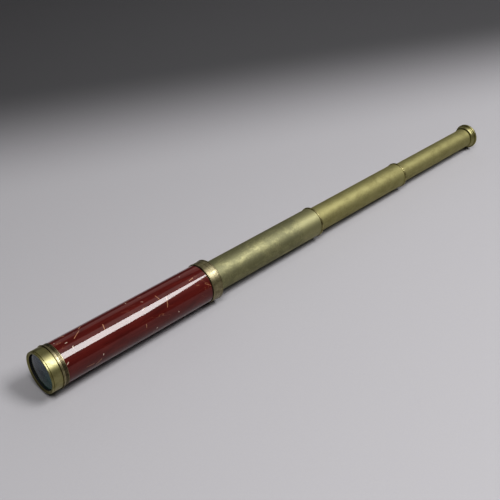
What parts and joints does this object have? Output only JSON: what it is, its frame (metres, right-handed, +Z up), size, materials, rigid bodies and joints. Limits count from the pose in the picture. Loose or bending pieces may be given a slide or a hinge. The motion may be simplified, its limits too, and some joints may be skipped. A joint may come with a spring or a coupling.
{
  "type": "three-draw hand telescope",
  "caption": "Hand telescope with a red-varnished wooden barrel, sliding brass draws, a recessed objective lens, and a flared eyecup with a swinging dust shutter.",
  "frame": {"origin": "under the middle of the drawn-out length, at the lowest point of the objective ferrule's flange, on which the barrel lies", "axes": "+X along the telescope from the objective to the eyecup, +Y to the left as seen by the user, +Z up"},
  "size_m": [0.8144, 0.054, 0.054],
  "materials": {
    "polished_brass": "polished, warm yellow, fine turning marks",
    "dull_brass": "aged, grey-brown, worn bright on its beads",
    "aged_draw_brass": "satin, olive-grey patina, cleaner and yellower towards the eye end",
    "satin_draw_brass": "satin, yellow-olive, lightly blotched",
    "draw_ring_brass": "satin with a bright worn crest",
    "bare_brass": "bare, turned",
    "blackened_brass": "matt optical black over brass",
    "red_varnished_wood": "gloss red-brown varnish over mahogany, scratched",
    "lens_glass": "clear, uncoated",
    "screw_steel": "blued steel, worn"
  },
  "bodies": {
    "barrel": {"objective_cell": "polished_brass", "crown_lens": "lens_glass", "lens_spacer": "dull_brass", "flint_lens": "lens_glass", "objective_retaining_ring": "blackened_brass", "objective_ferrule": "dull_brass", "wood_barrel": "red_varnished_wood", "eye_end_ferrule": "dull_brass", "main_bush": "dull_brass"},
    "draw_1": {"draw_1_stop_ring": "bare_brass", "draw_1_tube": "aged_draw_brass", "draw_1_bush": "draw_ring_brass"},
    "draw_2": {"draw_2_stop_ring": "bare_brass", "draw_2_tube": "satin_draw_brass", "draw_2_bush": "draw_ring_brass"},
    "draw_3": {"draw_3_stop_ring": "bare_brass", "draw_3_tube": "satin_draw_brass", "erector_tube": "blackened_brass", "erector_front_cell": "blackened_brass", "erector_front_lens": "lens_glass", "erector_stop": "blackened_brass", "erector_rear_cell": "blackened_brass", "erector_rear_lens": "lens_glass", "eyepiece_tube": "blackened_brass", "field_lens_cell": "blackened_brass", "field_lens": "lens_glass", "field_stop": "blackened_brass", "eye_lens_cell": "blackened_brass", "eye_lens": "lens_glass", "eyecup": "polished_brass", "shutter_screw": "screw_steel"},
    "shutter": {"eye_shutter": "polished_brass"}
  },
  "joints": [
    {"name": "draw_1_slide", "type": "slide", "parent": "barrel", "child": "draw_1", "axis": [1, 0, 0], "range_m": [-0.1872, 0]},
    {"name": "draw_2_slide", "type": "slide", "parent": "draw_1", "child": "draw_2", "axis": [1, 0, 0], "range_m": [-0.1864, 0]},
    {"name": "draw_3_slide", "type": "slide", "parent": "draw_2", "child": "draw_3", "axis": [1, 0, 0], "range_m": [-0.1732, 0]},
    {"name": "shutter_swing", "type": "hinge", "parent": "draw_3", "child": "shutter", "pos_m": [0.4034, 0, 0.0384], "axis": [1, 0, 0], "range_deg": [0, 55]}
  ]
}
